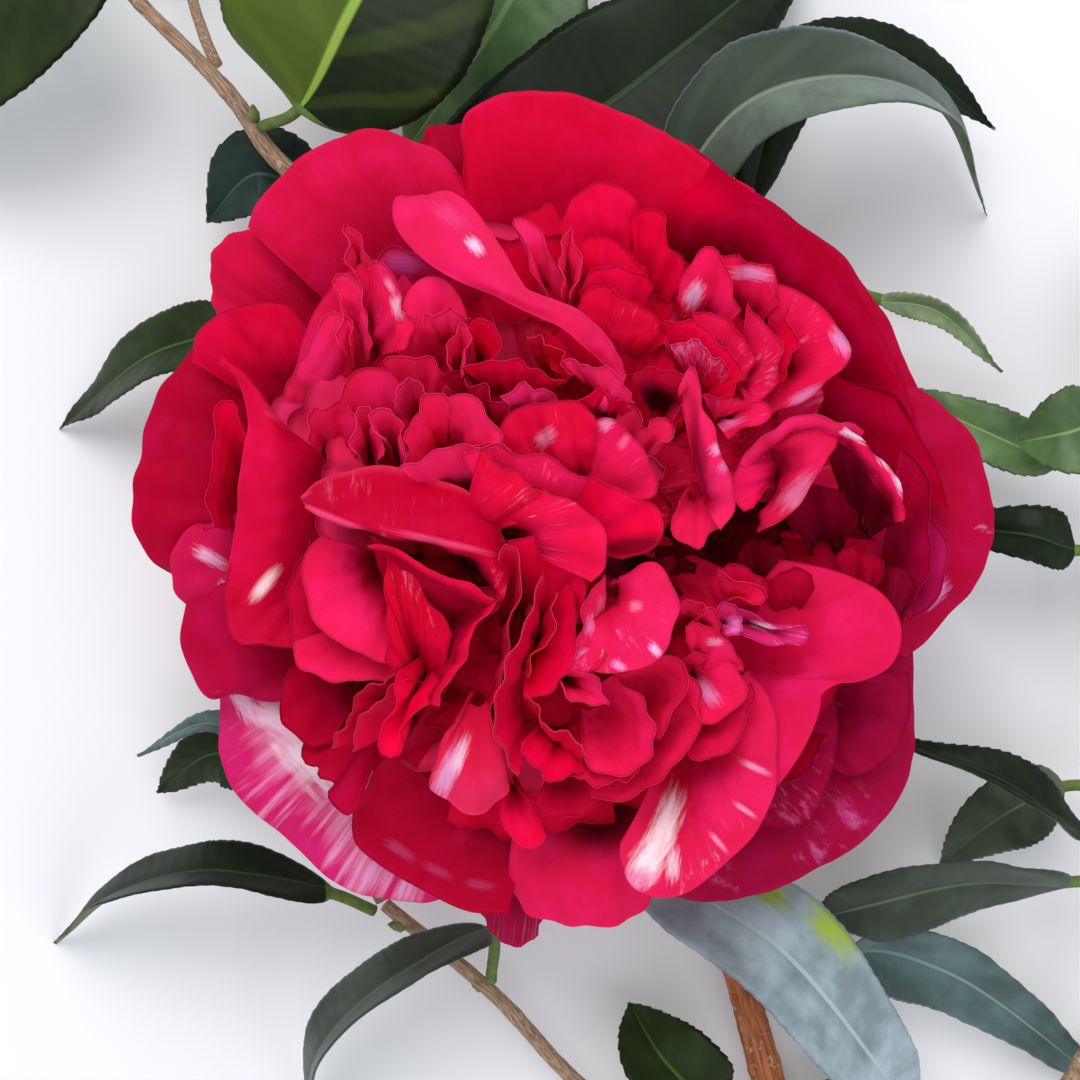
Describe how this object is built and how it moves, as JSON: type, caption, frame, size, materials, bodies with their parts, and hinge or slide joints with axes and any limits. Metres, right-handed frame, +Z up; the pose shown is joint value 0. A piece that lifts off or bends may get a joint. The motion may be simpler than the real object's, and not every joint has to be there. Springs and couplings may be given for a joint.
{
  "type": "cut camellia branch with a double bloom",
  "caption": "Cut flowering branch of a camellia, lying down: a woody stem with twigs, glossy folded leaves and a large ruffled double red bloom facing up.",
  "frame": {"origin": "middle of the underside of the branch's own box, on the surface that it lies on", "axes": "+Z up, the way the bloom faces; +Y along the main stem from its cut end towards its tip; +X to the right of that"},
  "size_m": [0.21, 0.232, 0.0824],
  "materials": {
    "bark": "matt young bark, orange-brown on the main stem and paler on the twigs",
    "leaf": "leathery dark green blade with a waxy gloss and a paler midrib",
    "calyx": "matt green scales with brown rims",
    "petal": "velvety satin petals, crimson to hot pink with white flecks and streaks"
  },
  "bodies": {
    "root": {"bloom": "petal", "flowering_twig": "bark", "lower_left_twig": "bark", "lower_left_twig_end": "bark", "lower_left_twig_end_leaf_1": "leaf", "lower_left_twig_end_leaf_2": "leaf", "lower_left_twig_end_leaf_3": "leaf", "lower_left_twig_leaf_1": "leaf", "lower_left_twig_leaf_2": "leaf", "main_stem": "bark", "main_stem_leaf_1": "leaf", "main_stem_leaf_2": "leaf", "main_stem_leaf_3": "leaf", "main_stem_leaf_4": "leaf", "main_stem_leaf_5": "leaf", "main_stem_leaf_6": "leaf", "main_stem_leaf_7": "leaf", "receptacle": "calyx", "right_twig": "bark", "right_twig_end": "bark", "right_twig_end_leaf_1": "leaf", "right_twig_end_leaf_2": "leaf", "right_twig_end_leaf_3": "leaf", "right_twig_end_leaf_4": "leaf", "right_twig_end_leaf_5": "leaf", "right_twig_end_leaf_6": "leaf", "right_twig_end_leaf_7": "leaf", "right_twig_end_leaf_8": "leaf", "right_twig_leaf_1": "leaf", "upper_left_fork": "bark", "upper_left_fork_leaf_1": "leaf", "upper_left_twig": "bark", "upper_left_twig_leaf_1": "leaf", "upper_left_twig_leaf_2": "leaf", "upper_left_twig_leaf_3": "leaf", "upper_left_twig_leaf_4": "leaf", "upper_left_twig_leaf_5": "leaf", "upper_right_twig": "bark", "upper_right_twig_leaf_1": "leaf", "upper_right_twig_leaf_2": "leaf", "upper_right_twig_leaf_3": "leaf"}
  },
  "joints": []
}
